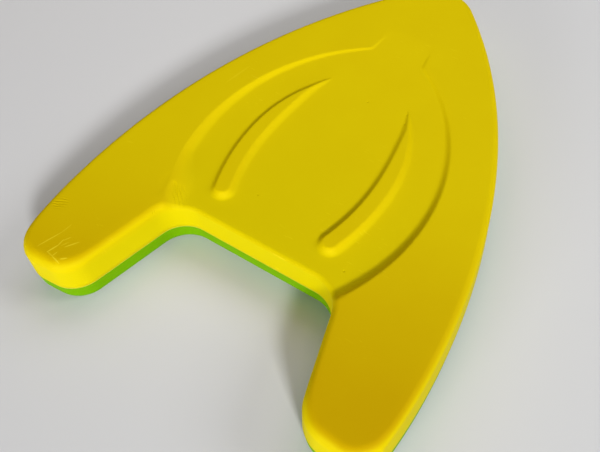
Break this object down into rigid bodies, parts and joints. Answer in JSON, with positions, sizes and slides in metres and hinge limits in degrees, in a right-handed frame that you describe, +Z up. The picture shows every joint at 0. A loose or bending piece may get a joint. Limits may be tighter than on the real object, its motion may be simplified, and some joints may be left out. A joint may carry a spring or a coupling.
{
  "type": "swimming kickboard",
  "caption": "A-shaped foam swimming kickboard with a rounded nose, a rear leg notch, and a sunken panel with raised crescent grips; a yellow layer glued to a green one.",
  "frame": {"origin": "under the middle of the board's bounding box, on the plane of its flat underside", "axes": "+Y towards the rounded nose, +X towards the right leg seen from above with the nose ahead, +Z up through the top face"},
  "size_m": [0.305, 0.3998, 0.047],
  "materials": {
    "upper_foam": "satin",
    "lower_foam": "satin",
    "glue": "satin"
  },
  "bodies": {
    "root": {"lower_foam_layer": "lower_foam", "glue_film": "glue", "upper_foam_layer": "upper_foam"}
  },
  "joints": []
}
